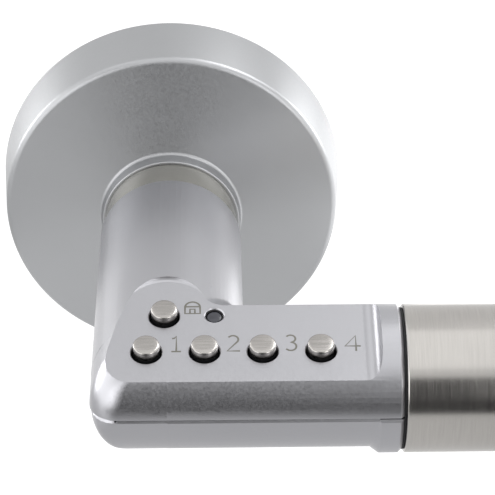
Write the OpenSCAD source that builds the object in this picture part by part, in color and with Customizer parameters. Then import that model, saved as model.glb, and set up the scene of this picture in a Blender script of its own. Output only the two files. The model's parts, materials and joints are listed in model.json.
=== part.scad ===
// Keypad smart lock: a lever handle with a code keypad in its elbow, on a round sprung rose.
// Millimetres. The origin is the centre of the rose's back on the door face. +Y goes into the
// door, +Z is up and +X runs along the grip.

/* [Rose] */
// Diameter of the rose where it meets the door
rose_d = 56.8; // [54:0.2:62]
// Diameter of the rose at its front edge
rose_front_d = 55; // [53:0.2:56.8]
// Depth of the rose's outer wall, up to the front edge's rounding
rose_wall_h = 10.66; // [10:0.1:14]
// Slope of the rose's front face towards the collar, in degrees
rose_face_slope = 9.2; // [5:0.1:12]
// Wall thickness of the rose cover
rose_skin = 1.5; // [1:0.1:2]
// Distance between the two fixing holes
fixing_pitch = 38; // [36:0.5:39]
// Diameter of a fixing hole
fixing_hole_d = 5; // [4:0.1:5.2]

/* [Neck] */
// Distance from the door face to the grip's axis
projection = 63.5; // [62:0.5:72]
// Diameter of the neck
neck_d = 22.8; // [22.4:0.1:23]
// Distance from the door face to the neck's back end
neck_start = 22.7; // [22.5:0.1:24]
// Diameter of the turning shank inside the bearing bush
shank_d = 18; // [17:0.1:18.2]
// Width across the flats of the square spindle
spindle_w = 8; // [7:1:8]
// Length of spindle that goes into the door
spindle_reach = 50; // [30:5:90]

/* [Grip] */
// Diameter of the grip tube and of the body that continues it
grip_d = 22; // [21.6:0.1:22.4]
// Distance from the neck's axis to the end of the keypad body
body_end = 34.3; // [34:0.1:36]
// Distance from the neck's axis to the far end of the grip
grip_end = 126; // [120:1:140]
// Wall thickness of the grip tube
tube_wall = 1; // [0.8:0.1:1.2]

/* [Keypad] */
// Tilt of the keypad towards the user, in degrees
keypad_tilt = 14; // [12:0.5:16]
// Distance from the grip's axis to the keypad's face
keypad_h = 7.92; // [7.8:0.02:8.2]
// Where the keypad's face ends, before its rounded end wall
keypad_end = 28.8; // [28.6:0.1:29.4]
// Where the keypad's face ends up the slope, before its rounded top wall
keypad_top = 12.6; // [12.2:0.1:12.8]
// Radius of the rounded wall at the keypad's end
keypad_cove = 2.4; // [2:0.1:2.6]
// Distance from one digit button to the next
button_pitch = 8.47; // [8:0.01:8.6]
// Diameter of a button's cap
button_d = 3.9; // [3.6:0.1:4]
// Height of a button's cap above the keypad's face
button_rise = 1.4; // [1.2:0.1:1.6]
// How far a button travels
button_travel = 0.8; // [0.5:0.1:0.8]

/* [Hidden] */
$fn = 96;
far = 200;             // longer than any cut needs
fit = 0.05;            // radial running clearance, and the gap of seated pieces
gap = 0.3;             // clearance between pieces that don't touch

silver_paint = [0.68, 0.68, 0.71];
steel = [0.70, 0.69, 0.66];
zinc = [0.55, 0.56, 0.57];
black = [0.08, 0.08, 0.09];
brass = [0.78, 0.64, 0.36];

// Rose and bearing
rose_edge_r = 1.1;
collar_r = 11.46;
collar_rim_r = 11.28;
collar_end = 16.56;
collar_fillet = 0.6;
shank_r = shank_d / 2;
bush_r = 10.4;
bush_front_r = 10.9;
bush_start = 3.4;
bush_end = neck_start - 0.4;
base_r = rose_front_d / 2 - 1.8;
base_plate = [8.4, 10];
base_hub_r = 12.2;
boss_r = 4;
lever_turn = 45;       // the lever turns this far each way

// Return spring and the finger that winds it
spring_r = 13.9;
spring_wire_r = 0.75;
spring_pitch = 1.6;
spring_turns = 2;
spring_start = 4.4;
spring_leg_end = 20.6;
spring_bend_r = 1.4;
finger = [15.4, 18.4, 2];      // inner radius, outer radius, half width
lug = [18.9, 21.2];            // inner and outer radius of the fixed lug
cam_z = [1.2, 3];
shank_flat = 8.2;

// Lever body
neck_r = neck_d / 2;
grip_r = grip_d / 2;
tube_r = grip_r - tube_wall;
bore_r = neck_r - 2;           // bore of the neck, also of the keypad body
corner_r = 4.5;                // rounding of the elbow's outer corner, seen from above
inner_r = 2.6;                 // rounding of the elbow's inner corner
body_bevel = 0.5;              // bevel at the body's end, beside the grip
elbow_step = 5;                // degrees between the elbow's layers
seam = 0.28;                   // height of the housing's lower edge
seam_gap = 0.3;
lip_h = 0.8;                   // how far the cover's lip reaches into the housing
lip_t = 0.6;
cover_back = 14;               // how far the lower cover runs back under the neck
cover_inset = 0.15;
cover_rise = 0.95;             // the cover's round section is centred this much higher
cover_edge = [0.24, 0.48];     // bevel along the cover's upper edge: its width and height
cover_taper = 8.5;             // depth at which the rounding of the cover's corner runs out
cover_bore = grip_r - 2.3;
cover_flare = [29.5, 31];      // where the cover widens to the full diameter
housing_skin = 1.6;            // thickness under the keypad's face
hollow_corner = -8.8;          // where the hollow ends at the elbow's outer corner
spigot_r = tube_r - 0.1;
spigot_bore_r = spigot_r - 1.4;
spigot = [cover_flare[1] + 0.1, body_end + 9.7];
cover_posts = [[27.6, 0], [4.6, 11]];
cover_post_r = 2;
cover_screw = [1.05, 1.8, 1.6];     // radius, radius of the head and its height
cover_screw_z = [-7, 2.5];          // under side of its head's seat, and its tip
shank_seat_end = 30;
shank_screw_at = 26.5;
shank_screw_r = 1.95;
shank_bore_r = 5.9;            // the spindle passes through the shank
ring_z = [0.5, 1.1];
ring_r = [8.35, 10.2];         // inner and outer radius of the retaining ring
cam_r = 12.4;

// Keypad: places are [along the grip, up the slope] on the keypad's face
arch_r = 6.8;                  // rounding of the keypad's top, seen from above
arch_cove = 0.7;               // radius of its wall
arch_side = 5.6;               // where it has run out into the neck's side
digit_row = -1.7;
digit_start = -2.98;
digits = [for (i = [0:3]) [digit_start + i * button_pitch, digit_row]];
lock_at = [-0.43, 5.46];
led_at = [6.96, 5.63];
keys = concat([lock_at], digits);
ceiling = keypad_h - housing_skin;
button_hole_r = button_d / 2 + gap;
button_flange = [ceiling - 0.85, ceiling - 0.1];
button_flange_r = 2.6;
button_edge = 0.35;            // rounding of a cap's edge
hole_rim = 0.15;               // chamfer of a button's hole
board = [1.82, 2.82];          // under side and top of the circuit board
board_x = [-6.4, 24.4];
board_y = [-7.4, 7.9];
mat_top = button_flange[0] - 0.05;
mat = [mat_top - button_travel, mat_top - 0.3, mat_top];   // under side, sheet and raised pads
mat_x = [-6.1, 25.2];
mat_y = [-6.9, 7.4];
key_switch = [1.7, 1.2, 1.7];  // half width, height of the case and of the plunger
posts = [[11.2, 4.6], [19, 4.6], [1.25, -5.4], [18.2, -5.4]];
post_r = 0.9;
led_hole_r = 1.2;
led_rim = 0.35;
sounder_at = 11.5;
sounder_size = [4.5, 2.4];     // radius and height
socket_x = [17.6, 22.6];
socket_size = [2.6, 4, 0.6];   // half width, height and wall

// Clutch: places along the neck are distances from the door face
hub = [30.4, 37];
hub_r = bore_r - 0.1;
hub_socket_end = 34.4;
pin_offset = 5.6;              // from the neck's axis to the clutch pin
pin_r = 1.5;
pin = [35, 42.5];
pin_foot = 1.2;
pin_travel = 3;
screw_r = 0.8;
screw = [39, 47.1];
mount = [37.4, 49.4];
motor_start = pin[1] + pin_foot + pin_travel + 0.5;
motor = [motor_start, motor_start + 10];
motor_r = 3;
wire_hole_r = 2.6;

// Grip
tube = [body_end + 0.4, grip_end - 3];
grip_screw_x = [tube[0] + 4.6, tube[1] - 6];
grip_screw_r = 1.7;
battery_r = 7.8;
battery_l = 27;
cells_start = tube[0] + 13.4;
carrier = [tube[0] + 11.4, tube[0] + 73];
carrier_end = 1.2;
carrier_opening = 2.5;         // height at which the carrier's windows start
contact_r = 5.5;
contact_wire_r = 0.35;
contact_plate_t = 0.35;
cap_plug = 10;
cap_edge_r = 1;
seal_r = 0.65;
seal_groove = [tube[1] - 3, tube[1] - 1.4];
seal_groove_r = tube_r - 0.05 - 2 * seal_r - 0.15;

// ---------------------------------------------------------------- frames and shared shapes

// Turns a shape drawn upwards so that it stands out from the door.
module from_door() { rotate([90, 0, 0]) children(); }

// Moves a shape drawn round the grip's axis into place.
module at_grip() { translate([0, -projection, 0]) children(); }

// Turns a shape drawn upwards so that it lies along the grip.
module along_grip() { at_grip() rotate([90, 0, 90]) children(); }

// The tilted frame of the keypad, with its height counted from the grip's axis.
module at_keypad() { at_grip() rotate([keypad_tilt, 0, 0]) children(); }

// A turned piece from its profile, as [radius, height] points.
module turned(profile) { rotate_extrude() polygon(profile); }

// A round bar with chamfered ends.
module bar(r, from, to, chamfer_from = 0, chamfer_to = 0) {
    turned([[0, from], [r - chamfer_from, from], [r, from + chamfer_from],
        [r, to - chamfer_to], [r - chamfer_to, to], [0, to]]);
}

module ring(outer, inner, from, to) {
    difference() {
        translate([0, 0, from]) cylinder(r = outer, h = to - from);
        translate([0, 0, from - 1]) cylinder(r = inner, h = to - from + 2);
    }
}

module box(low, high) { translate(low) cube(high - low); }

// A plate in the X-Y plane with rounded corners.
module rounded_plate(low, high, r) {
    translate([low[0] + r, low[1] + r, low[2]])
        linear_extrude(high[2] - low[2])
            for (i = [0, 1], j = [0, 1])
                let (w = high[0] - low[0] - 2 * r, d = high[1] - low[1] - 2 * r) {
                    translate([i * w, j * d]) circle(r);
                    if (i == 0 && j == 0) {
                        translate([-r, 0]) square([w + 2 * r, d]);
                        translate([0, -r]) square([w, d + 2 * r]);
                    }
                }
}

function arc_points(centre, r, from, to, steps = 6) = [for (i = [0:steps])
    let (a = from + (to - from) * i / steps) centre + r * [cos(a), sin(a)]];

// Faces of a tube of rings, with flat ends: rings of n points, m rings.
function tube_faces(n, m) = concat(
    [[for (k = [0:n - 1]) k]],
    [for (i = [0:m - 2], k = [0:n - 1]) let (a = i * n + k, b = i * n + (k + 1) % n)
        [a, a + n, b]],
    [for (i = [0:m - 2], k = [0:n - 1]) let (a = i * n + k, b = i * n + (k + 1) % n)
        [b, a + n, b + n]],
    [[for (k = [n - 1:-1:0]) (m - 1) * n + k]]);

// Round wire that follows a path whose turns lie across Z.
module wire(path, r, sides = 8) {
    last = len(path) - 1;
    points = [for (i = [0:last])
        let (t = path[min(i + 1, last)] - path[max(i - 1, 0)],
            side = [t[1], -t[0], 0] / norm([t[0], t[1]]))
        for (k = [0:sides - 1]) path[i] + r * (cos(360 * k / sides) * side
            + [0, 0, sin(360 * k / sides)])];
    polyhedron(points, tube_faces(sides, last + 1), convexity = 10);
}

// ---------------------------------------------------------------- the elbow's form

// One layer of the elbow at a height: an L with a rounded outer and inner corner. a and b are
// the half widths of the neck and of the grip at that height.
function elbow_layer(a, b, ro, ri, reach) = concat(
    arc_points([-a + ro, -b + ro], ro, 180, 270, 7),
    [[reach, -b], [reach, b]],
    arc_points([a + ri, b + ri], ri, 270, 180, 5),
    [[a, reach], [-a, reach]]);

// The elbow: layers whose widths follow the neck's and the grip's round sections.
// Below the axis the outer corner's rounding runs out at the depth that taper gives.
module elbow(neck, grip, corner, inner, low, high, taper = far) {
    reach = neck + inner + 0.6;
    angles = [asin(low / grip) : elbow_step : asin(high / grip)];
    heights = concat([for (a = angles) grip * sin(a)], [high]);
    layers = [for (z = heights)
        let (a = sqrt(neck * neck - z * z), b = sqrt(max(grip * grip - z * z, 0.01)),
            tight = max(0.8, corner * (1 + min(z + 1, 0) / taper)),
            ro = min(tight, 0.8 * a, 0.8 * b))
        [for (p = elbow_layer(a, b, ro, inner, reach)) [p[0], p[1], z]]];
    polyhedron([for (layer = layers) each layer], tube_faces(len(layers[0]), len(layers)));
}

// Outer form of the keypad body: elbow, neck and grip, all solid. shrink keeps the elbow's
// flat facets just inside the round bars that they run into.
module lever_form() {
    shrink = 0.02;
    at_grip() elbow(neck_r - shrink, grip_r - shrink, corner_r, inner_r, -3, 10.4);
    from_door() bar(neck_r, neck_start, projection, 0.3);
    along_grip() bar(grip_r, 0, body_end, 0, body_bevel);
}

// The elbow's hollow: two bores that meet in a mitre, cut off square at the outer corner.
module elbow_hollow(neck, grip, neck_end, grip_end, corner = hollow_corner) {
    translate([0, neck_end, 0]) rotate([90, 0, 0]) cylinder(r = neck, h = neck_end);
    rotate([0, 90, 0]) cylinder(r = grip, h = grip_end);
    intersection() {
        translate([0, 1, 0]) rotate([90, 0, 0]) cylinder(r = neck, h = 1 - corner);
        translate([corner, 0, 0]) rotate([0, 90, 0]) cylinder(r = grip, h = 1 - corner);
    }
}

// Hollow of the keypad housing, below the ceiling that its keypad leaves.
module housing_hollow() {
    intersection() {
        at_grip() elbow_hollow(bore_r, bore_r, projection - neck_start + 1, spigot[0] + 1);
        at_keypad() box([-far, -far, -far], [far, far, ceiling]);
    }
}

// What the tilted keypad takes off: a flat with a coved wall at its end, and with an arch of
// its own small cove where it runs out up the neck.
module keypad_cut() {
    arch_y = keypad_top - arch_r;
    at_keypad() {
        box([-far, -far, keypad_h], [keypad_end, arch_y, far]);
        box([arch_side, -far, keypad_h], [keypad_end, keypad_top, far]);
        box([arch_side, -far, keypad_h + keypad_cove], [keypad_end + keypad_cove, keypad_top, far]);
        translate([keypad_end, keypad_top, keypad_h + keypad_cove]) rotate([90, 0, 0])
            cylinder(r = keypad_cove, h = 3 * grip_r);
        translate([0, arch_y, keypad_h]) turned(concat([[0, 0]],
            arc_points([arch_r, arch_cove], arch_cove, 270, 360, 3),
            [[arch_r + arch_cove, grip_r], [0, grip_r]]));
    }
}

// ---------------------------------------------------------------- rose

// The sprung cover of the rose: tapered wall, gently conical face and a short collar.
module rose_cover() {
    slope = tan(rose_face_slope);
    front_r = rose_front_d / 2;
    edge = [front_r - rose_edge_r, rose_wall_h];
    edge_end = edge + rose_edge_r * [sin(rose_face_slope), cos(rose_face_slope)];
    function face(r) = edge_end[1] + (edge_end[0] - r) * slope;
    foot_r = collar_r + collar_fillet;
    foot = [foot_r, face(foot_r) + collar_fillet / cos(rose_face_slope)];
    collar_bore = bush_r + fit;
    color(silver_paint) from_door() turned(concat(
        [[rose_d / 2, 0]],
        arc_points(edge, rose_edge_r, 5, 90 - rose_face_slope),
        arc_points(foot, collar_fillet, 270 - rose_face_slope, 180),
        [[collar_rim_r, collar_end - 0.25], [collar_rim_r - 0.25, collar_end],
            [collar_bore, collar_end], [collar_bore, face(collar_bore) - rose_skin],
            [front_r - rose_skin - 0.1, face(front_r - rose_skin - 0.1) - rose_skin],
            [rose_d / 2 - rose_skin, 0]]));
}

// Cast base: a shallow hat, open to the door, with the bush's hub, the two fixing bosses, the
// spring's lug and the lever's two stops.
module rose_base() {
    color(zinc) from_door() difference() {
        union() {
            ring(base_r, base_r - 1.4, 0, base_plate[1]);
            ring(base_r - 0.5, bush_r + fit, base_plate[0], base_plate[1]);
            ring(base_hub_r, bush_r + fit, bush_start + 0.5, base_plate[1]);
            for (side = [-1, 1])
                translate([side * fixing_pitch / 2, 0, 0])
                    cylinder(r = boss_r, h = base_plate[0] + 0.5);
            box([-1.9, lug[0], spring_start - 0.4], [1.9, lug[1], base_plate[0] + 0.5]);
            for (side = [0, 1]) mirror([side, 0, 0]) rotate(lever_turn)
                box([-finger[2] - gap - 3, finger[0], cam_z[1] + 0.4],
                    [-finger[2] - gap, finger[1], base_plate[0] + 0.5]);
            for (a = [30, 150, 210, 330]) rotate(a)
                box([base_hub_r + 3.4, -0.6, 5], [base_r - 1, 0.6, base_plate[0] + 0.5]);
        }
        for (side = [-1, 1])
            translate([side * fixing_pitch / 2, 0, -1]) cylinder(d = fixing_hole_d, h = 8);
    }
}

// Steel bush that the shank turns in. Its wider front end shows between collar and neck.
module bearing_bush() {
    color(steel) from_door() difference() {
        turned([[0, bush_start], [bush_r - 0.2, bush_start], [bush_r, bush_start + 0.2],
            [bush_r, collar_end + 0.09], [bush_front_r, collar_end + 0.09],
            [bush_front_r, bush_end - 0.2], [bush_front_r - 0.2, bush_end], [0, bush_end]]);
        translate([0, 0, bush_start - 1]) cylinder(r = shank_r + fit, h = neck_start);
    }
}

// Torsion spring round the base's hub. Its legs stand on both sides of the cam's finger.
module return_spring() {
    leg_x = finger[2] + 0.15 + spring_wire_r;
    bend_x = leg_x + spring_bend_r;
    bend_y = sqrt(pow(spring_r + spring_bend_r, 2) - bend_x * bend_x);
    start = acos(bend_x / (spring_r + spring_bend_r));
    sweep = 360 * spring_turns - (180 - 2 * start);
    steps = 44;
    rise = spring_pitch * sweep / 360;
    coil = [for (i = [1:steps - 1]) let (a = start - sweep * i / steps)
        [spring_r * cos(a), spring_r * sin(a), spring_start + rise * i / steps]];
    leg = concat([[leg_x, spring_leg_end], [leg_x, (spring_leg_end + bend_y) / 2]],
        arc_points([bend_x, bend_y], spring_bend_r, 180, 180 + start, 4));
    color(steel) from_door() wire(concat(
        [for (p = leg) [p[0], p[1], spring_start]], coil,
        [for (i = [len(leg) - 1:-1:0]) [-leg[i][0], leg[i][1], spring_start + rise]]),
        spring_wire_r);
}

// ---------------------------------------------------------------- lever: body and neck

// Cast keypad housing: elbow, neck and collar in one, with the tilted keypad flat, its button
// holes, the posts for the board and the spigot that carries the grip tube.
module keypad_housing() {
    color(silver_paint) difference() {
        union() {
            difference() {
                lever_form();
                housing_hollow();
                keypad_cut();
                at_grip() box([-far, -far, -far], [far, cover_back + 0.2, seam]);
            }
            along_grip() ring(spigot_r, spigot_bore_r, spigot[0], spigot[1]);
            at_keypad() for (p = posts)
                translate([p[0], p[1], board[1] + fit])
                    cylinder(r = post_r, h = ceiling + 0.5 - board[1]);
            at_grip() for (i = [0, 1])
                translate([cover_posts[i][0], cover_posts[i][1], seam])
                    cylinder(r = cover_post_r, h = [7.2, 9.4][i] - seam);
        }
        at_keypad() {
            for (p = keys)
                translate([p[0], p[1], 0]) {
                    translate([0, 0, ceiling - 1]) cylinder(r = button_hole_r, h = far);
                    translate([0, 0, keypad_h - hole_rim]) cylinder(r1 = button_hole_r,
                        r2 = button_hole_r + 2 * hole_rim, h = 2 * hole_rim);
                }
            translate([led_at[0], led_at[1], ceiling - 1]) cylinder(r = led_hole_r, h = far);
            translate([led_at[0], led_at[1], keypad_h - led_rim])
                cylinder(r1 = led_hole_r, r2 = led_hole_r + 2 * led_rim, h = 2 * led_rim);
        }
        at_grip() for (p = cover_posts)
            translate([p[0], p[1], seam - 1]) cylinder(r = 1.1, h = 6);
        from_door() translate([0, 0, shank_screw_at]) rotate([90, 0, 0])
            cylinder(r = shank_screw_r + fit, h = neck_d);
        along_grip() translate([0, 0, grip_screw_x[0]]) rotate([90, 0, 0])
            cylinder(r = grip_screw_r + fit, h = grip_d);
    }
}

// Lip of the lower cover: it stands inside the housing, on a root as wide as the hollow, and
// closes the parting line.
module cover_lip() {
    back = cover_back - 2 * gap;
    end = spigot[0] - 2 * gap;
    root = seam - seam_gap - lip_h;
    difference() {
        union() {
            intersection() {
                elbow_hollow(bore_r - gap, bore_r - gap, back, end, hollow_corner + gap);
                box([-far, -far, root], [far, far, seam + lip_h]);
            }
            intersection() {
                elbow_hollow(bore_r, bore_r, back, end);
                box([-far, -far, root], [far, far, seam - seam_gap]);
            }
        }
        elbow_hollow(bore_r - gap - lip_t, bore_r - gap - lip_t, far, far,
            hollow_corner + gap + lip_t);
    }
}

// What bevels the cover's upper edge: one straight stretch along each side of the neck and of
// the grip, and a turned one at the elbow's outer and inner corner.
module cover_bevel() {
    a = sqrt(pow(neck_r - cover_inset, 2) - pow(cover_rise, 2));
    b = sqrt(pow(grip_r - cover_inset, 2) - pow(cover_rise, 2));
    ro = corner_r - cover_inset;
    slope = cover_edge[1] / cover_edge[0];
    function cut(at, side) = [[at - side * (cover_edge[0] + 0.2), 0.2 * slope],
        [at + side, 0.2 * slope], [at + side, -cover_edge[1] - slope]];
    translate([0, 0, seam - seam_gap]) {
        rotate([90, 0, 0]) translate([0, 0, -cover_back - 1]) {
            linear_extrude(cover_back + 1 + b - ro) polygon(cut(-a, -1));
            linear_extrude(cover_back + 1 - b - inner_r) polygon(cut(a, 1));
        }
        rotate([90, 0, 90]) {
            translate([0, 0, ro - a])
                linear_extrude(cover_flare[1] - 0.2 + a - ro) polygon(cut(-b, -1));
            translate([0, 0, a + inner_r])
                linear_extrude(cover_flare[1] - 0.2 - a - inner_r) polygon(cut(b, 1));
            for (side = [-1, 1]) translate([0, 0, cover_flare[1] - 0.3])
                linear_extrude(far) polygon(cut(side * grip_r, side));
        }
        translate([ro - a, ro - b, 0]) rotate([0, 0, 180])
            rotate_extrude(angle = 90) polygon(cut(ro, 1));
        translate([a + inner_r, b + inner_r, 0]) rotate([0, 0, 180])
            rotate_extrude(angle = 90) polygon(cut(inner_r, -1));
    }
}

// Lower cover of the keypad body, a little shallower than the housing, widening to the full
// diameter at its grip end.
module lower_cover() {
    r = grip_r - cover_inset;
    shrink = 0.02;
    color(silver_paint) difference() {
        union() {
            difference() {
                union() {
                    at_grip() translate([0, 0, cover_rise]) {
                        elbow(neck_r - cover_inset - shrink, r - shrink,
                            corner_r - cover_inset, inner_r, 0.4 - r, 0.6, cover_taper);
                        rotate([-90, 0, 0]) cylinder(r = neck_r - cover_inset, h = cover_back);
                        rotate([0, 90, 0]) cylinder(r = r, h = cover_flare[1]);
                    }
                    along_grip() turned([[0, 0], [r - cover_rise, 0],
                        [r - cover_rise, cover_flare[0]], [grip_r, cover_flare[1]],
                        [grip_r, body_end - body_bevel], [grip_r - body_bevel, body_end],
                        [0, body_end]]);
                }
                at_grip() difference() {
                    elbow_hollow(bore_r, cover_bore, cover_back + 1, spigot[0]);
                    cover_lip();
                }
                along_grip() translate([0, 0, spigot[0] - 0.1])
                    cylinder(r = spigot_r + 0.1, h = far);
            }
            at_grip() for (p = cover_posts)
                translate([p[0], p[1], -9]) cylinder(r = cover_post_r + 0.3, h = 9);
        }
        at_grip() {
            difference() {
                box([-far, -far, seam - seam_gap], [far, far, far]);
                cover_lip();
            }
            cover_bevel();
            box([-far, cover_back, -far], [far, far, far]);
            for (p = cover_posts) translate([p[0], p[1], -far]) {
                cylinder(r = cover_screw[0] + 0.25, h = far);
                cylinder(r = cover_screw[1] + 0.1, h = far + cover_screw_z[0]);
            }
        }
    }
}

module cover_screws() {
    color(steel) at_grip() for (p = cover_posts) translate([p[0], p[1], 0]) difference() {
        union() {
            translate([0, 0, cover_screw_z[0]])
                cylinder(r = cover_screw[0], h = cover_screw_z[1] - cover_screw_z[0]);
            translate([0, 0, cover_screw_z[0] - cover_screw[2]])
                cylinder(r = cover_screw[1], h = cover_screw[2]);
        }
        translate([0, 0, cover_screw_z[0] - cover_screw[2] - 0.1])
            cylinder(r = 0.75, h = 1, $fn = 6);
    }
}

// Shank that turns in the bush: flats for the cam and a groove for the ring at its back end.
module neck_shank() {
    color(zinc) from_door() difference() {
        union() {
            bar(shank_r, 0.3, neck_start + 1, 0.2);
            bar(bore_r - fit, neck_start - 0.1, shank_seat_end, 0.2, 0.3);
        }
        translate([0, 0, -1]) cylinder(r = shank_bore_r, h = shank_seat_end + 2);
        ring(shank_r + 1, ring_r[0] - fit, ring_z[0] - fit, ring_z[1] + fit);
        for (side = [0, 1]) mirror([side, 0, 0])
            box([shank_flat, -shank_r - 1, 0], [shank_r + 1, shank_r + 1, cam_z[1] + 0.1]);
        translate([0, 0, shank_screw_at]) rotate([90, 0, 0])
            cylinder(r = shank_screw_r + fit, h = neck_d);
    }
}

module shank_screw() {
    color(steel) from_door() translate([0, 0, shank_screw_at]) rotate([90, 0, 0]) difference() {
        translate([0, 0, shank_bore_r + 0.5])
            cylinder(r = shank_screw_r, h = neck_r - 0.4 - shank_bore_r - 0.5);
        translate([0, 0, neck_r - 2]) cylinder(r = 1.15, h = 2, $fn = 6);
    }
}

// Cam on the shank's flats, with the finger that pushes the spring's legs.
module return_cam() {
    color(zinc) from_door() difference() {
        union() {
            translate([0, 0, cam_z[0]]) cylinder(r = cam_r, h = cam_z[1] - cam_z[0]);
            box([-finger[2], 11, cam_z[0]], [finger[2], finger[1], cam_z[1]]);
            box([-finger[2], finger[0], cam_z[0]], [finger[2], finger[1], 8]);
        }
        intersection() {
            translate([0, 0, -1]) cylinder(r = shank_r + fit, h = 6);
            box([-shank_flat - fit, -far, -1], [shank_flat + fit, far, 5]);
        }
    }
}

module retaining_ring() {
    color(steel) from_door() difference() {
        ring(ring_r[1], ring_r[0], ring_z[0], ring_z[1]);
        rotate(-90) linear_extrude(3) polygon([[0, 0], [20, -9], [20, 9]]);
    }
}

// ---------------------------------------------------------------- lever: electronics

module circuit_board() {
    color([0.10, 0.38, 0.22]) at_keypad() difference() {
        rounded_plate([board_x[0], board_y[0], board[0]], [board_x[1], board_y[1], board[1]], 1.5);
        for (y = board_y) translate([13.9, y, 0]) cylinder(r = 1.2, h = 5);
    }
}

// One switch under each button.
module key_switches() {
    color(black) at_keypad() for (p = keys) translate([p[0], p[1], board[1]]) {
        box([-key_switch[0], -key_switch[0], 0], [key_switch[0], key_switch[0], key_switch[1]]);
        cylinder(r = 0.8, h = key_switch[2]);
    }
}

// Silicone mat between the buttons and the switches.
module keypad_mat() {
    color([0.25, 0.25, 0.27]) at_keypad() difference() {
        union() {
            rounded_plate([mat_x[0], mat_y[0], mat[0]], [mat_x[1], mat_y[1], mat[1]], 1.5);
            for (p = keys) translate([p[0], p[1], mat[0]])
                cylinder(r = 1.9, h = mat[2] - mat[0]);
        }
        for (p = posts) translate([p[0], p[1], 0]) cylinder(r = post_r + gap, h = 9);
        translate([led_at[0], led_at[1], 0]) cylinder(r = 1.4, h = 9);
    }
}

module status_lens() {
    color([0.12, 0.12, 0.14]) at_keypad() translate([led_at[0], led_at[1], 0])
        bar(led_hole_r - 0.1, 4, keypad_h - 0.3, 0, 0.2);
}

module status_led() {
    color([0.85, 0.85, 0.75]) at_keypad() translate([led_at[0], led_at[1], board[1]]) {
        box([-1.4, -1, 0], [1.4, 1, 0.6]);
        cylinder(r = 0.8, h = 0.9);
    }
}

module sounder() {
    start = board[0] - sounder_size[1];
    color(black) at_keypad() translate([sounder_at, 0, 0]) difference() {
        bar(sounder_size[0], start, board[0], 0.3);
        translate([0, 0, start - 0.6]) cylinder(r = 0.6, h = 2);
    }
}

// Socket for the lead from the battery compartment.
module battery_socket() {
    half = socket_size[0];
    wall = socket_size[2];
    start = board[0] - socket_size[1];
    color([0.9, 0.88, 0.8]) at_keypad() difference() {
        box([socket_x[0], -half, start], [socket_x[1], half, board[0]]);
        box([socket_x[0] + 1, wall - half, start + wall], [far, half - wall, board[0] - wall]);
    }
}

// ---------------------------------------------------------------- lever: clutch

// Moves a shape drawn out from the door onto the clutch pin's axis.
module at_pin() { from_door() rotate(225) translate([pin_offset, 0, 0]) rotate(-225) children(); }

// Block in the neck that guides the pin and holds the motor.
module clutch_mount() {
    color(black) difference() {
        from_door() intersection() {
            bar(bore_r - 0.1, mount[0], mount[1], 0.3, 0.3);
            box([-far, -far, 0], [far, 1.5, far]);
        }
        at_pin() {
            translate([0, 0, mount[0] - 1]) cylinder(r = pin_r + fit, h = 9);
            box([-2.3, -1.6, pin[1] - gap], [2.3, 1.6, motor[0] - 0.1]);
            translate([0, 0, motor[0] - 0.3]) cylinder(r = motor_r + fit, h = 9);
        }
        from_door() translate([4.4, -2, mount[0] - 1]) cylinder(r = wire_hole_r, h = 20);
    }
}

module clutch_motor() {
    color(steel) at_pin() {
        bar(motor_r, motor[0], motor[1], 0.2, 0.4);
        translate([0, 0, motor[1]]) cylinder(r = 1.2, h = 0.6);
    }
}

// Threaded on the motor's screw and kept from turning by its foot. It reaches into the hub.
module clutch_pin() {
    color(steel) at_pin() difference() {
        union() {
            bar(pin_r, pin[0], pin[1], 0.3);
            box([-2.2, -1.5, pin[1]], [2.2, 1.5, pin[1] + pin_foot]);
        }
        translate([0, 0, pin[0] + 0.7]) cylinder(r = screw_r + 0.1, h = 20);
    }
}

module clutch_screw() {
    color(brass) at_pin() bar(screw_r, screw[0], screw[1], 0.2);
}

// Square spindle that turns the lock in the door.
module spindle() {
    half = spindle_w / 2;
    color(steel) from_door() translate([0, 0, -spindle_reach]) intersection() {
        box([-half, -half, 0], [half, half, spindle_reach + hub_socket_end - 0.1]);
        bar(half * 1.38, 0, spindle_reach + hub_socket_end, 1);
    }
}

// Hub on the spindle's end, with four holes for the clutch pin.
module spindle_hub() {
    half = spindle_w / 2 + fit;
    color(brass) from_door() difference() {
        bar(hub_r, hub[0], hub[1], 0.3, 0.3);
        box([-half, -half, hub[0] - 1], [half, half, hub_socket_end]);
        for (a = [45:90:315]) rotate(a) translate([pin_offset, 0, pin[0] - 0.3])
            cylinder(r = pin_r + fit, h = 9);
    }
}

// ---------------------------------------------------------------- lever: grip

module grip_gasket() {
    color(black) along_grip() ring(grip_r - 0.5, spigot_r + fit, body_end + fit, tube[0] - fit);
}

module grip_tube() {
    color(steel) along_grip() difference() {
        bar(grip_r, tube[0], tube[1], 0.3, 0.3);
        translate([0, 0, tube[0] - 1]) cylinder(r = tube_r, h = far);
        for (x = grip_screw_x) translate([0, 0, x]) rotate([90, 0, 0])
            cylinder(r = grip_screw_r + fit, h = grip_d);
    }
}

// Grub screws under the grip: one into the spigot, one into the end cap.
module grip_screws() {
    color(steel) along_grip() for (x = grip_screw_x) translate([0, 0, x]) rotate([90, 0, 0])
        difference() {
            translate([0, 0, 8.7]) cylinder(r = grip_screw_r, h = grip_r - 8.9);
            translate([0, 0, 9.6]) cylinder(r = 0.9, h = 3, $fn = 6);
        }
}

// Cradle for the two cells: a trough with end walls and a bridge between the cells.
module battery_carrier() {
    color(black) along_grip() difference() {
        bar(tube_r - 0.3, carrier[0], carrier[1], 0.4, 0.4);
        translate([0, 0, carrier[0] + carrier_end])
            cylinder(r = battery_r + 0.15, h = carrier[1] - carrier[0] - 2 * carrier_end);
        box([-far, carrier_opening, carrier[0] + 6], [far, far, cells_start + battery_l - 3]);
        box([-far, carrier_opening, cells_start + battery_l + 3], [far, far, carrier[1] - 6]);
        cylinder(r = 3.6, h = far);
    }
}

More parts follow.
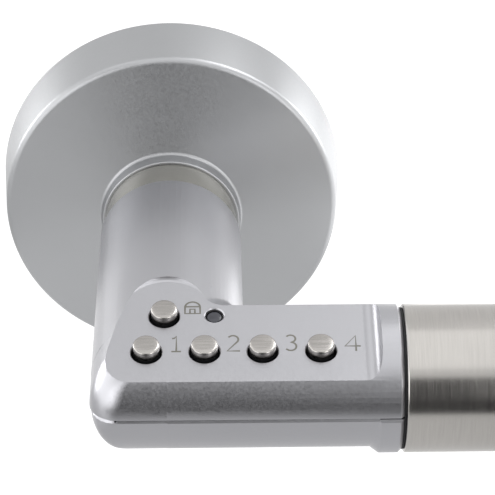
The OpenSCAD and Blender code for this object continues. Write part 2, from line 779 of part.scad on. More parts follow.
// A cell with its raised pole.
module cell(start) {
    color([0.25, 0.32, 0.42]) along_grip() turned(concat(
        [[0, start], [battery_r - 0.4, start], [battery_r, start + 0.4]],
        arc_points([battery_r - 0.6, start + battery_l - 1.6], 0.6, 0, 90, 4),
        [[3.2, start + battery_l - 1], [3.2, start + battery_l], [0, start + battery_l]]));
}
module battery_1() { cell(cells_start); }
module battery_2() { cell(cells_start + battery_l + 0.2); }

module contact_plate() {
    start = cells_start - 0.45;
    color(brass) along_grip() {
        translate([0, 0, start]) cylinder(r = contact_r, h = contact_plate_t);
        box([-1.2, 0, start - 4], [1.2, 2.6, start]);
    }
}

// Conical spring between the last cell and the end cap.
module contact_spring() {
    start = cells_start + 2 * battery_l + 0.65;
    turns = 3.5;
    steps = 42;
    color(brass) along_grip() wire([for (i = [0:steps]) let (t = i / steps,
        a = 360 * turns * t, r = 3 + 2.6 * t) [r * cos(a), r * sin(a), start + 3.2 * t]],
        contact_wire_r, 6);
}

// Plug with a rounded flange that closes the grip.
module end_cap() {
    plug = tube[1] - cap_plug;
    color(steel) along_grip() difference() {
        turned(concat([[0, plug], [spigot_r - 0.4, plug],
            [spigot_r, plug + 0.4], [spigot_r, seal_groove[0]],
            [seal_groove_r, seal_groove[0]], [seal_groove_r, seal_groove[1]],
            [spigot_r, seal_groove[1]],
            [spigot_r, tube[1] + fit], [grip_r, tube[1] + fit]],
            arc_points([grip_r, grip_end] - cap_edge_r * [1, 1], cap_edge_r, 0, 90, 5),
            [[0, grip_end]]));
        translate([0, 0, grip_screw_x[1]]) rotate([90, 0, 0])
            cylinder(r = grip_screw_r + fit, h = grip_d);
        translate([0, 0, plug - 1]) cylinder(r = 7.2, h = 7);
    }
}

module cap_seal() {
    color(black) along_grip() translate([0, 0, (seal_groove[0] + seal_groove[1]) / 2])
        rotate_extrude() translate([seal_groove_r + 0.1 + seal_r, 0]) circle(seal_r);
}

// ---------------------------------------------------------------- buttons

// A button: cap through the housing, flange under it.
module button(place) {
    cap_r = button_d / 2;
    top = keypad_h + button_rise;
    color(steel) at_keypad() translate([place[0], place[1], 0]) turned(concat(
        [[0, button_flange[0]], [button_flange_r, button_flange[0]],
            [button_flange_r, button_flange[1]], [cap_r, button_flange[1]]],
        arc_points([cap_r, top] - button_edge * [1, 1], button_edge, 0, 90), [[0, top]]));
}
module button_lock() { button(lock_at); }
module button_1() { button(digits[0]); }
module button_2() { button(digits[1]); }
module button_3() { button(digits[2]); }
module button_4() { button(digits[3]); }

rose_cover();
rose_base();
bearing_bush();
return_spring();
keypad_housing();
lower_cover();
cover_screws();
neck_shank();
shank_screw();
return_cam();
retaining_ring();
circuit_board();
key_switches();
keypad_mat();
status_lens();
status_led();
sounder();
battery_socket();
clutch_mount();
clutch_motor();
clutch_pin();
clutch_screw();
spindle();
spindle_hub();
grip_gasket();
grip_tube();
grip_screws();
battery_carrier();
battery_1();
battery_2();
contact_plate();
contact_spring();
end_cap();
cap_seal();
button_lock();
button_1();
button_2();
button_3();
button_4();
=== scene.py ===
"""Looks of the keypad lever lock: the lacquered rose and body, the brushed grip and its keys."""

import json
import logging
import math
from contextlib import contextmanager
from dataclasses import dataclass, field
from enum import Enum
from typing import Callable, Iterator, Sequence

import bmesh
import bpy
from mathutils import Matrix, Vector

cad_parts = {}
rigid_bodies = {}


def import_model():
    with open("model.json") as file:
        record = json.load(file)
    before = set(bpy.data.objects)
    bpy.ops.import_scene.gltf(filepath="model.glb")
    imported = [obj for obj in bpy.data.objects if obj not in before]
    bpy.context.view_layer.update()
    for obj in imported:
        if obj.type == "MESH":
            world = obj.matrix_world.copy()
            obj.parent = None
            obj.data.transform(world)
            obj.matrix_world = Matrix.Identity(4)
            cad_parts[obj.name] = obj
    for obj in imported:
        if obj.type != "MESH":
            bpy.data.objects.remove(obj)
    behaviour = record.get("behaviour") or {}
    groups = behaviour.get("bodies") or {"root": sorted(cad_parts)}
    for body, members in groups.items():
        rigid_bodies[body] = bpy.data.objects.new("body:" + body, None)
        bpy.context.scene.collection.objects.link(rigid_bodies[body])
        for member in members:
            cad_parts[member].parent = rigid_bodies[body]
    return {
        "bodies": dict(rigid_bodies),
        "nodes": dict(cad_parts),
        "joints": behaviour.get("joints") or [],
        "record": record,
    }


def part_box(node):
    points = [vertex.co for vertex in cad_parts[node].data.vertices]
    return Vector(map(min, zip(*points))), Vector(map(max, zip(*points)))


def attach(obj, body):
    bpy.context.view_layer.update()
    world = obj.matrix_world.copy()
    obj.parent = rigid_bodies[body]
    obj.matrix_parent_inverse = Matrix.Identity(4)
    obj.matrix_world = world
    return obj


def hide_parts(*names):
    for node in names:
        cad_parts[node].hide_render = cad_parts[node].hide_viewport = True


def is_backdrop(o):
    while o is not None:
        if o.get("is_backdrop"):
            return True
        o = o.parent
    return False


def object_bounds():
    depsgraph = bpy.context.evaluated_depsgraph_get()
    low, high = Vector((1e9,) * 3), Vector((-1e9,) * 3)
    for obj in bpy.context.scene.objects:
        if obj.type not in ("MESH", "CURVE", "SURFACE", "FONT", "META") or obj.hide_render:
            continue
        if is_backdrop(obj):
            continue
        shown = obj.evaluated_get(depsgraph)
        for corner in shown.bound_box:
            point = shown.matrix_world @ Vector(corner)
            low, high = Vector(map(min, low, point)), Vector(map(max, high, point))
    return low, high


log = logging.getLogger("lever_lock")

MM = 0.001
SAME_SPOT = 1e-7  # metres within which two corners are one
Colour = tuple[float, float, float]
Point = tuple[float, float]


# ------------------------------------------------------------------ working frames

@dataclass(frozen=True)
class Place:
    """A frame to work in: a centre, the way the work stands and the way its radius points."""

    centre: Vector
    axis: Vector
    radial: Vector

    def at(self, r: float, h: float) -> Vector:
        """The point at radius r and height h, both in millimetres."""
        return self.centre + self.radial * (r * MM) + self.axis * (h * MM)

    def moved(self, along_radial: float, across: float, up: float = 0.0) -> "Place":
        """This frame moved in its own directions.

        Args:
            along_radial: Millimetres along the radial direction.
            across: Millimetres across it, to the left when the axis points at the viewer.
            up: Millimetres along the axis.

        Returns:
            The moved frame.
        """
        side = self.axis.cross(self.radial)
        centre = self.at(along_radial, up) + side * (across * MM)
        return Place(centre, self.axis, self.radial)

    def matrix(self) -> Matrix:
        """The matrix that takes X to the radial direction and Z to the axis."""
        side = self.axis.cross(self.radial)
        turn = Matrix((self.radial, side, self.axis)).transposed()
        return Matrix.Translation(self.centre) @ turn.to_4x4()


@dataclass(frozen=True)
class Corner:
    """A corner of a turned profile: radius, height and how softly it is rounded, in millimetres."""

    r: float
    h: float
    soft: float = 0.0


# ------------------------------------------------------------------ tools of the bench

def deselect_all() -> None:
    """Leaves object mode with nothing selected."""
    if bpy.context.object is not None and bpy.context.object.mode != "OBJECT":
        bpy.ops.object.mode_set(mode="OBJECT")
    bpy.ops.object.select_all(action="DESELECT")


def select_only(obj: bpy.types.Object) -> None:
    """Makes obj the only selected and the active object."""
    deselect_all()
    obj.select_set(True)
    bpy.context.view_layer.objects.active = obj


@contextmanager
def editing(obj: bpy.types.Object, kind: str = "VERT") -> Iterator[bmesh.types.BMesh]:
    """Edit mode on obj, with nothing selected.

    Args:
        obj: The mesh object to edit.
        kind: What is selected in it: VERT, EDGE or FACE.

    Returns:
        The mesh in edit mode, to pick elements from.
    """
    select_only(obj)
    bpy.ops.object.mode_set(mode="EDIT")
    bpy.ops.mesh.select_mode(type=kind)
    bpy.ops.mesh.select_all(action="DESELECT")
    yield bmesh.from_edit_mesh(obj.data)
    bpy.ops.object.mode_set(mode="OBJECT")


def pick(obj: bpy.types.Object, chosen: Callable[[Vector], bool]) -> None:
    """Selects the vertices whose place passes a test, and the edges and faces between them."""
    mesh = bmesh.from_edit_mesh(obj.data)
    bpy.ops.mesh.select_all(action="DESELECT")
    for vertex in mesh.verts:
        if chosen(vertex.co):
            vertex.select_set(True)
    mesh.select_flush(True)
    bmesh.update_edit_mesh(obj.data)


def named(name: str) -> bpy.types.Object:
    """Names the object that an operator has just added, and its mesh."""
    obj = bpy.context.object
    obj.name = obj.data.name = name
    return obj


def apply_modifier(obj: bpy.types.Object, kind: str, **settings: object) -> None:
    """Adds a modifier with the given settings and applies it."""
    select_only(obj)
    modifier = obj.modifiers.new(kind.title(), kind)
    for key, value in settings.items():
        setattr(modifier, key, value)
    bpy.ops.object.modifier_apply(modifier=modifier.name)


def smooth(obj: bpy.types.Object, degrees: float = 35.0) -> None:
    """Shades obj smooth, with its edges sharper than the given angle left crisp."""
    select_only(obj)
    bpy.ops.object.shade_smooth_by_angle(angle=math.radians(degrees))


def deflection(before: Corner, corner: Corner, after: Corner) -> float:
    """The angle by which a profile turns at a corner, in radians."""
    a = Vector((corner.r - before.r, corner.h - before.h))
    b = Vector((after.r - corner.r, after.h - corner.h))
    return a.angle(b, 0.0)


def turn(name: str, place: Place, profile: Sequence[Corner], closed: bool = False,
         steps: int = 144) -> bpy.types.Object:
    """A turned piece: its profile is drawn, its corners are rounded and it is spun.

    Args:
        name: The piece's name.
        place: The frame whose axis it is turned about.
        profile: The corners in order.
        closed: Whether the last corner joins the first, as on a ring.
        steps: Steps of the spin.

    Returns:
        The finished object, shaded smooth.
    """
    deselect_all()
    bpy.ops.mesh.primitive_plane_add(size=MM)
    obj = named(name)
    with editing(obj):
        bpy.ops.mesh.select_all(action="SELECT")
        bpy.ops.mesh.merge(type="CENTER")
        bpy.ops.transform.translate(value=place.at(profile[0].r, profile[0].h))
        for a, b in zip(profile, profile[1:]):
            step = place.at(b.r, b.h) - place.at(a.r, a.h)
            bpy.ops.mesh.extrude_region_move(TRANSFORM_OT_translate={"value": step})
        if closed:
            ends = [place.at(c.r, c.h) for c in (profile[0], profile[-1])]
            pick(obj, lambda p: min((p - e).length for e in ends) < SAME_SPOT)
            bpy.ops.mesh.edge_face_add()
        last = len(profile)
        for i, corner in enumerate(profile):
            if corner.soft > 0:
                bend = deflection(profile[i - 1], corner, profile[(i + 1) % last])
                spot = place.at(corner.r, corner.h)
                pick(obj, lambda p: (p - spot).length < SAME_SPOT)
                offset = corner.soft * MM * math.tan(bend / 2)
                bpy.ops.mesh.bevel(offset=offset, segments=6, affect="VERTICES",
                                   clamp_overlap=True)
        bpy.ops.mesh.select_all(action="SELECT")
        bpy.ops.mesh.spin(steps=steps, angle=math.tau, center=place.centre, axis=place.axis,
                          use_auto_merge=True)
        bpy.ops.mesh.select_all(action="SELECT")
        bpy.ops.mesh.remove_doubles(threshold=2 * SAME_SPOT)
        bpy.ops.mesh.normals_make_consistent(inside=False)
    smooth(obj)
    return obj


def drill(obj: bpy.types.Object, place: Place, r: float, start: float, depth: float) -> None:
    """Cuts a round hole with a cutter that is thrown away.

    Args:
        obj: The piece to drill.
        place: The frame whose axis the hole follows.
        r: Radius of the hole in millimetres.
        start: Height at which the cutter starts.
        depth: Length of the cutter.
    """
    deselect_all()
    bpy.ops.mesh.primitive_cylinder_add(vertices=32, radius=r * MM, depth=depth * MM)
    cutter = bpy.context.object
    cutter.matrix_world = place.moved(0, 0, start + depth / 2).matrix()
    bpy.ops.object.transform_apply(location=True, rotation=True, scale=True)
    apply_modifier(obj, "BOOLEAN", operation="DIFFERENCE", object=cutter, solver="EXACT")
    bpy.data.objects.remove(cutter)
    smooth(obj)


def refined(name: str, node: str, merge: float = 0.002) -> bpy.types.Object:
    """A copy of a solid to dress: merged, with its flat faces made whole.

    Args:
        name: The new piece's name.
        node: The solid to copy.
        merge: Distance in millimetres below which points are joined.

    Returns:
        The copy.
    """
    source = bpy.data.objects[node]
    obj = bpy.data.objects.new(name, source.data.copy())
    obj.data.name = name
    obj.data.materials.clear()
    bpy.context.scene.collection.objects.link(obj)
    with editing(obj):
        bpy.ops.mesh.select_all(action="SELECT")
        bpy.ops.mesh.remove_doubles(threshold=merge * MM)
        bpy.ops.mesh.dissolve_limited(angle_limit=math.radians(0.1))
    finish_shading(obj)
    return obj


def finish_shading(obj: bpy.types.Object, degrees: float = 32.0) -> None:
    """Shades a cast piece smooth while its flats stay even."""
    smooth(obj, degrees)
    apply_modifier(obj, "WEIGHTED_NORMAL", mode="FACE_AREA", weight=80, keep_sharp=True)


def break_edges(obj: bpy.types.Object, width: float,
                chosen: Callable[[bmesh.types.BMEdge], bool]) -> None:
    """Rounds the chosen edges of a piece.

    Args:
        obj: The piece.
        width: Width of the rounding in millimetres.
        chosen: Whether an edge is rounded.
    """
    log.info("%s: edges broken by %.2f mm", obj.name, width)
    with editing(obj, "EDGE") as mesh:
        for edge in mesh.edges:
            edge.select_set(len(edge.link_faces) == 2 and chosen(edge))
        bmesh.update_edit_mesh(obj.data)
        bpy.ops.mesh.bevel(offset=width * MM, offset_type="OFFSET", segments=3,
                           affect="EDGES", clamp_overlap=True, miter_outer="ARC")


# ------------------------------------------------------------------ finishes

class Grain(Enum):
    """Which way a surface was brushed, as the stretch of its grain along X, Y and Z."""

    ROUND_NECK = (0.035, 1.0, 0.035)
    ROUND_GRIP = (1.0, 0.035, 0.035)
    ACROSS = (0.05, 1.0, 1.0)
    CAST = (1.0, 1.0, 1.0)


class Graph:
    """A material's nodes while they are being wired.

    A noise mostly keeps between LOW and HIGH, so that span is what drives colour and gloss.
    """

    LOW = 0.3
    HIGH = 0.7

    def __init__(self, name: str) -> None:
        """Starts an empty material with a shader and an output."""
        self.material = bpy.data.materials.new(name)
        self.material.use_nodes = True
        self.tree = self.material.node_tree
        self.tree.nodes.clear()
        self.shader = self.add("ShaderNodeBsdfPrincipled")
        out = self.add("ShaderNodeOutputMaterial")
        self.wire(self.shader.outputs[0], out.inputs["Surface"])

    def add(self, kind: str, **settings: object) -> bpy.types.Node:
        """Adds a node and sets its properties."""
        node = self.tree.nodes.new(kind)
        for key, value in settings.items():
            setattr(node, key, value)
        return node

    def wire(self, source: bpy.types.NodeSocket, target: bpy.types.NodeSocket) -> None:
        """Joins two sockets."""
        self.tree.links.new(source, target)

    def noise(self, scale: float, grain: Grain = Grain.CAST, detail: float = 3.0,
              ) -> bpy.types.NodeSocket:
        """A noise over the piece, stretched along its grain.

        Args:
            scale: Bumps in a metre.
            grain: How the surface was brushed.
            detail: How many finer layers it has.

        Returns:
            The noise's value, around a half.
        """
        where = self.add("ShaderNodeTexCoord")
        stretch = self.add("ShaderNodeMapping")
        stretch.inputs["Scale"].default_value = grain.value
        noise = self.add("ShaderNodeTexNoise")
        noise.inputs["Scale"].default_value = scale
        noise.inputs["Detail"].default_value = detail
        self.wire(where.outputs["Object"], stretch.inputs["Vector"])
        self.wire(stretch.outputs["Vector"], noise.inputs["Vector"])
        return noise.outputs["Fac"]

    def ramp(self, source: bpy.types.NodeSocket, low: Colour, high: Colour,
             ) -> bpy.types.NodeSocket:
        """Turns a noise into a colour between two.

        Args:
            source: The noise's value.
            low: Colour where it is low.
            high: Colour where it is high.

        Returns:
            The colour.
        """
        ramp = self.add("ShaderNodeValToRGB")
        ends = ((self.LOW, low), (self.HIGH, high))
        for stop, (place, colour) in zip(ramp.color_ramp.elements, ends):
            stop.position = place
            stop.color = (*colour, 1)
        self.wire(source, ramp.inputs["Fac"])
        return ramp.outputs["Color"]

    def spread(self, source: bpy.types.NodeSocket, low: float, high: float,
               ) -> bpy.types.NodeSocket:
        """Maps a noise to a range."""
        span = self.add("ShaderNodeMapRange")
        span.inputs["From Min"].default_value = self.LOW
        span.inputs["From Max"].default_value = self.HIGH
        span.inputs["To Min"].default_value = low
        span.inputs["To Max"].default_value = high
        self.wire(source, span.inputs["Value"])
        return span.outputs["Result"]

    def bump(self, height: bpy.types.NodeSocket, depth: float) -> None:
        """Raises the surface.

        Args:
            height: Where it is raised.
            depth: By how many millimetres.
        """
        bump = self.add("ShaderNodeBump")
        bump.inputs["Distance"].default_value = depth * MM
        self.wire(height, bump.inputs["Height"])
        self.wire(bump.outputs["Normal"], self.shader.inputs["Normal"])


def shade(colour: Colour, factor: float) -> Colour:
    """A colour made lighter or darker."""
    return tuple(min(1.0, c * factor) for c in colour)


CLOUD_SCALE = 90.0  # clouds in a metre, over every finish
GLOSS_SWING = 0.12  # how far the grain takes the roughness to either side


@dataclass(frozen=True)
class Finish:
    """A finish: its colour, gloss and grain, and the record's slot that it belongs to."""

    slot: str
    colour: Colour
    metal: float = 0.0
    rough: float = 0.5
    grain: Grain = Grain.CAST
    grain_scale: float = 900.0
    depth: float = 0.004
    tone: float = 0.05
    coat: float = 0.0
    coat_rough: float = 0.1
    specular: float = 0.5

    def build(self, name: str) -> bpy.types.Material:
        """Wires the finish.

        Args:
            name: The material's name.

        Returns:
            The material, with its tone, its gloss and its relief from the grain.
        """
        graph = Graph(name)
        sockets = graph.shader.inputs
        grain = graph.noise(self.grain_scale, self.grain)
        cloud = graph.noise(CLOUD_SCALE, Grain.CAST, 2.0)
        mix = graph.add("ShaderNodeMath", operation="ADD")
        graph.wire(grain, mix.inputs[0])
        graph.wire(cloud, mix.inputs[1])
        half = graph.add("ShaderNodeMath", operation="MULTIPLY")
        half.inputs[1].default_value = 0.5
        graph.wire(mix.outputs[0], half.inputs[0])
        colour = graph.ramp(half.outputs[0], shade(self.colour, 1 - self.tone),
                            shade(self.colour, 1 + self.tone))
        graph.wire(colour, sockets["Base Color"])
        gloss = graph.spread(grain, self.rough * (1 - GLOSS_SWING),
                             self.rough * (1 + GLOSS_SWING))
        graph.wire(gloss, sockets["Roughness"])
        sockets["Metallic"].default_value = self.metal
        sockets["Coat Weight"].default_value = self.coat
        sockets["Coat Roughness"].default_value = self.coat_rough
        sockets["Specular IOR Level"].default_value = self.specular
        graph.bump(grain, self.depth)
        return graph.material


LACQUER = Finish("silver_paint", (0.40, 0.40, 0.42), metal=0.98, rough=0.32,
                 grain_scale=2600.0, depth=0.002, tone=0.02)
ROSE_LACQUER = Finish("silver_paint", (0.365, 0.37, 0.38), metal=0.9, rough=0.4,
                      grain_scale=2600.0, depth=0.002, tone=0.02)
GRIP_STEEL = Finish("brushed_steel", (0.44, 0.425, 0.405), metal=1.0, rough=0.22,
                    grain=Grain.ROUND_GRIP, grain_scale=5200.0, depth=0.006, tone=0.07)
BUSH_STEEL = Finish("brushed_steel", (0.46, 0.45, 0.41), metal=1.0, rough=0.21,
                    grain=Grain.ROUND_NECK, grain_scale=5200.0, depth=0.01, tone=0.1)
KEY_STEEL = Finish("button_steel", (0.37, 0.355, 0.34), metal=1.0, rough=0.24,
                   grain=Grain.ACROSS, grain_scale=4200.0, depth=0.003, tone=0.14)
ZINC = Finish("zinc", (0.36, 0.37, 0.38), metal=0.8, rough=0.5, grain_scale=1500.0,
              depth=0.01, tone=0.07)
SPRING = Finish("spring_steel", (0.40, 0.40, 0.41), metal=1.0, rough=0.3, grain_scale=2500.0,
                depth=0.003, tone=0.06)
SCREW = Finish("screw_steel", (0.42, 0.42, 0.42), metal=1.0, rough=0.32, grain_scale=2500.0,
               depth=0.003, tone=0.06)
SPINDLE = Finish("spindle_steel", (0.38, 0.385, 0.39), metal=1.0, rough=0.36,
                 grain=Grain.ROUND_NECK, grain_scale=1800.0, depth=0.006, tone=0.08)
MOTOR = Finish("motor_case", (0.45, 0.45, 0.44), metal=1.0, rough=0.25, grain_scale=2500.0,
               depth=0.002, tone=0.04)
BRASS = Finish("brass", (0.60, 0.44, 0.17), metal=1.0, rough=0.3, grain_scale=2000.0,
               depth=0.003, tone=0.06)
# BLACK is the black plastic of the inner parts, and is also used as painted shade in the body's
# seam, round the lamp's window and on the keys' sides in their holes
BLACK = Finish("black_plastic", (0.016, 0.016, 0.018), rough=0.55, grain_scale=3000.0,
               depth=0.006, tone=0.2, specular=0.25)
RUBBER = Finish("rubber", (0.018, 0.018, 0.02), rough=0.65, grain_scale=2200.0, depth=0.008,
                tone=0.2, specular=0.25)
BOARD = Finish("board", (0.02, 0.10, 0.045), rough=0.4, grain_scale=700.0, depth=0.01,
               tone=0.25, coat=0.3)
LENS = Finish("dark_lens", (0.035, 0.037, 0.05), rough=0.22, grain_scale=1200.0, depth=0.002,
              tone=0.25, coat=0.3, coat_rough=0.1)
LED = Finish("led_plastic", (0.62, 0.60, 0.50), rough=0.35, grain_scale=1200.0, depth=0.002,
             tone=0.05)
CELL = Finish("cell", (0.10, 0.16, 0.30), metal=0.2, rough=0.35, grain_scale=600.0,
              depth=0.003, tone=0.1, coat=0.5)
ETCHED = Finish("silver_paint", (0.17, 0.165, 0.14), metal=0.3, rough=0.6, grain_scale=5000.0,
                depth=0.003, tone=0.12)

CARRIED = {
    ZINC: ("clutch_mount",),
    MOTOR: ("clutch_motor",),
    BRASS: ("clutch_screw", "spindle_hub", "contact_plate", "contact_spring"),
    SCREW: ("clutch_pin",),
    BLACK: ("key_switches", "sounder", "battery_carrier"),
    RUBBER: ("keypad_mat", "cap_seal"),
    BOARD: ("circuit_board",),
    LED: ("status_led", "battery_socket"),
    CELL: ("battery_1", "battery_2"),
}


class Dresser:
    """Gives pieces their finish and their body."""

    def __init__(self, frame: dict) -> None:
        """Keeps the loaded frame and an empty store of materials."""
        self.frame = frame
        self.bodies = frame["record"]["behaviour"]["bodies"]
        self.made: dict[tuple[Finish, str], bpy.types.Material] = {}

    def material(self, finish: Finish, label: str = "") -> bpy.types.Material:
        """The finish's material, wired once."""
        key = (finish, label)
        if key not in self.made:
            self.made[key] = finish.build(label or finish.slot)
        return self.made[key]

    def body_of(self, node: str) -> str:
        """The body that a solid belongs to."""
        return next(body for body, nodes in self.bodies.items() if node in nodes)

    def dress(self, obj: bpy.types.Object, finish: Finish, node: str,
              stands_for: bool = True) -> bpy.types.Object:
        """Paints a piece, lets it ride with a solid's body and hides the solid.

        Args:
            obj: The piece.
            finish: Its finish.
            node: The solid that it belongs with.
            stands_for: Whether it takes the solid's place.

        Returns:
            The same piece.
        """
        obj.data.materials.clear()
        obj.data.materials.append(self.material(finish, f"{finish.slot}_{node}"))
        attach(obj, self.body_of(node))
        if stands_for:
            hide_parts(node)
        log.info("%s: %s, %d faces", obj.name, finish.slot, len(obj.data.polygons))
        return obj

    def carry(self, node: str, finish: Finish) -> None:
        """Gives a solid that stays as it is its finish."""
        solid = self.frame["nodes"][node]
        solid.data.materials.clear()
        solid.data.materials.append(self.material(finish))


# ------------------------------------------------------------------ sub-assemblies

DOOR = Place(Vector((0, 0, 0)), Vector((0, -1, 0)), Vector((1, 0, 0)))
FACE_H = 7.92  # millimetres from the grip's axis to the keypad's face


def centre_of(node: str) -> Vector:
    """The middle of a solid's box."""
    low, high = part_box(node)
    return (low + high) / 2


def grip_place() -> Place:
    """The frame along the grip, from the neck's axis outwards."""
    middle = centre_of("grip_tube")
    return Place(Vector((0, middle.y, middle.z)), Vector((1, 0, 0)), Vector((0, 0, 1)))


def keypad_place(frame: dict) -> Place:
    """The frame of the keypad's face: its radial direction runs along the grip.

    Args:
        frame: The loaded frame, for the way in which the keys are pressed.

    Returns:
        The frame, centred on the grip's axis.
    """
    press = next(j for j in frame["joints"] if j["name"] == "button_1_press")
    return Place(grip_place().centre, -Vector(press["axis"]).normalized(), Vector((1, 0, 0)))


def over(node: str, keypad: Place) -> Place:
    """The keypad's frame moved over the middle of one of its solids."""
    away = centre_of(node) - keypad.centre
    side = keypad.axis.cross(keypad.radial)
    return keypad.moved(away.dot(keypad.radial) / MM, away.dot(side) / MM)


def height_of(point: Vector, keypad: Place) -> float:
    """Height of a point above the grip's axis, square to the keypad's face, in millimetres."""
    return (point - keypad.centre).dot(keypad.axis) / MM


@dataclass
class Rose:
    """The round rose on the door, with its collar, bearing bush and works, in millimetres."""

    front_r: float = 27.5
    wall_h: float = 10.66
    edge_r: float = 1.1
    slope: float = 9.2
    skin: float = 1.5
    collar_r: float = 11.46
    collar_rim: float = 11.28
    collar_end: float = 16.56
    bore: float = 10.45
    bush_bore: float = 9.05
    bush_front: float = 10.9
    bush_r: float = 10.4
    bush_start: float = 3.4
    bush_end: float = 22.3
    bush_gap: float = 0.09
    face_relief: float = 0.1
    works: dict[str, Finish] = field(default_factory=lambda: {
        "rose_base": ZINC, "return_cam": ZINC, "neck_shank": ZINC,
        "retaining_ring": SPRING, "return_spring": SPRING, "spindle": SPINDLE})

    def face(self, r: float) -> float:
        """Height of the conical face at a radius."""
        tilt = math.radians(self.slope)
        edge = Vector((self.front_r - self.edge_r, self.wall_h))
        edge += Vector((math.sin(tilt), math.cos(tilt))) * self.edge_r
        return edge.y + (edge.x - r) * math.tan(tilt)

    def build_cover(self) -> bpy.types.Object:
        """The lacquered cover with its tapered wall, rounded edge and collar."""
        low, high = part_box("rose_cover")
        foot = min(-low.x, high.x, -low.z, high.z) / MM
        inner = self.front_r - self.skin - self.face_relief
        front = foot - (foot - self.front_r) * self.face(self.front_r) / self.wall_h
        return turn("rose_shell", DOOR, [
            Corner(foot, 0), Corner(front, self.face(front), self.edge_r),
            Corner(self.collar_r, self.face(self.collar_r), 0.6),
            Corner(self.collar_rim, self.collar_end, 0.22),
            Corner(self.bore, self.collar_end, 0.1),
            Corner(self.bore, self.face(self.bore) - self.skin),
            Corner(inner, self.face(inner) - self.skin, 0.8),
            Corner(foot - self.skin, 0)], closed=True, steps=192)

    def build_bush(self) -> bpy.types.Object:
        """The bearing bush, whose wider front end shows before the neck."""
        step = self.collar_end + self.bush_gap
        return turn("bush_ring", DOOR, [
            Corner(self.bush_bore, self.bush_start), Corner(self.bush_r, self.bush_start, 0.2),
            Corner(self.bush_r, step), Corner(self.bush_front, step, 0.08),
            Corner(self.bush_front, self.bush_end, 0.25),
            Corner(self.bush_bore, self.bush_end)], closed=True)

    def build(self, dresser: Dresser) -> None:
        """Builds and dresses the rose."""
        dresser.dress(self.build_cover(), ROSE_LACQUER, "rose_cover")
        dresser.dress(self.build_bush(), BUSH_STEEL, "bearing_bush")
        for node, finish in self.works.items():
            dresser.dress(refined(f"{node}_part", node), finish, node)


@dataclass
class Body:
    """The cast keypad body: the elbow with the neck, its lower cover and their screws.

    Lengths are in millimetres and angles in degrees.
    """

    face_h: float = FACE_H
    bore: float = 9.6
    rim: float = 0.2
    seam_rim: float = 0.13
    seam: float = 0.28
    seam_gap: float = 0.3
    near: float = 0.01
    land_near: float = 0.015
    face_turn: float = 9.0
    side_turn: float = 15.0
    least_outward: float = -0.3
    # window_r, window_foot and window_lip bound the wall round the lamp's window that is painted
    # black as shade
    window_r: float = 1.45
    window_foot: float = 4.0
    window_lip: float = 0.22
    screws: tuple[str, ...] = ("cover_screws", "shank_screw")

    def outward(self, point: Vector, keypad: Place) -> Vector:
        """The way out from the nearer of the neck's and the grip's axes, with its length."""
        from_grip = Vector((min(point.x, 0), point.y - keypad.centre.y, point.z))
        from_neck = Vector((point.x, min(point.y - keypad.centre.y, 0), point.z))
        return min(from_grip, from_neck, key=lambda v: v.length)

    def above_axis(self, point: Vector, keypad: Place) -> float:
        """Height of a point above the grip's axis, in millimetres."""
        return (point.z - keypad.centre.z) / MM

    def on_land(self, edge: bmesh.types.BMEdge, keypad: Place) -> bool:
        """Whether an edge lies on one of the seam's two lands."""
        lands = (self.seam, self.seam - self.seam_gap)
        heights = [self.above_axis(vertex.co, keypad) for vertex in edge.verts]
        return any(max(abs(h - land) for h in heights) < self.land_near for land in lands)

    def is_shown(self, edge: bmesh.types.BMEdge, keypad: Place) -> bool:
        """Whether an edge is one of the body's outer ones, sharp enough to be rounded."""
        heights = [height_of(vertex.co, keypad) for vertex in edge.verts]
        angle = math.degrees(edge.calc_face_angle(0))
        if max(abs(h - self.face_h) for h in heights) < self.near:
            return angle > self.face_turn
        out = self.outward((edge.verts[0].co + edge.verts[1].co) / 2, keypad)
        if out.length < self.bore * MM or angle < self.side_turn:
            return False
        out.normalize()
        return min(face.normal.dot(out) for face in edge.link_faces) > self.least_outward

    def paint_shade_black(self, piece: bpy.types.Object, dresser: Dresser, keypad: Place) -> None:
        """Paints shade in black into the seam and onto the wall round the lamp's window."""
        piece.data.materials.append(dresser.material(BLACK))
        window = centre_of("status_lens")
        for face in piece.data.polygons:
            away = face.center - window
            height = height_of(face.center, keypad)
            beside = (away - keypad.axis * away.dot(keypad.axis)).length / MM
            above = self.above_axis(face.center, keypad)
            # painted shade: the seam's lands and the wall of the lamp's window take the black
            # finish, where only shade falls
            land = -self.seam_rim < above < self.seam + self.near
            deep = self.window_foot < height < self.face_h - self.window_lip
            if land or (deep and beside < self.window_r):
                face.material_index = 1

    def build(self, dresser: Dresser, keypad: Place) -> None:
        """Builds and dresses the body.

        Args:
            dresser: Paints the pieces and lets them ride.
            keypad: The keypad's frame.
        """
        for name, node, crisp in (("keypad_body", "keypad_housing", 32.0),
                                  ("body_cover", "lower_cover", 20.0)):
            piece = refined(name, node, 0.04)
            break_edges(piece, self.rim, lambda edge: (
                self.is_shown(edge, keypad) and not self.on_land(edge, keypad)))
            if node == "lower_cover":
                break_edges(piece, self.seam_rim, lambda edge: (
                    self.is_shown(edge, keypad) and self.on_land(edge, keypad)))
            finish_shading(piece, crisp)
            dresser.dress(piece, LACQUER, node)
            self.paint_shade_black(piece, dresser, keypad)
        for node in self.screws:
            dresser.dress(refined(f"{node}_part", node), SCREW, node)


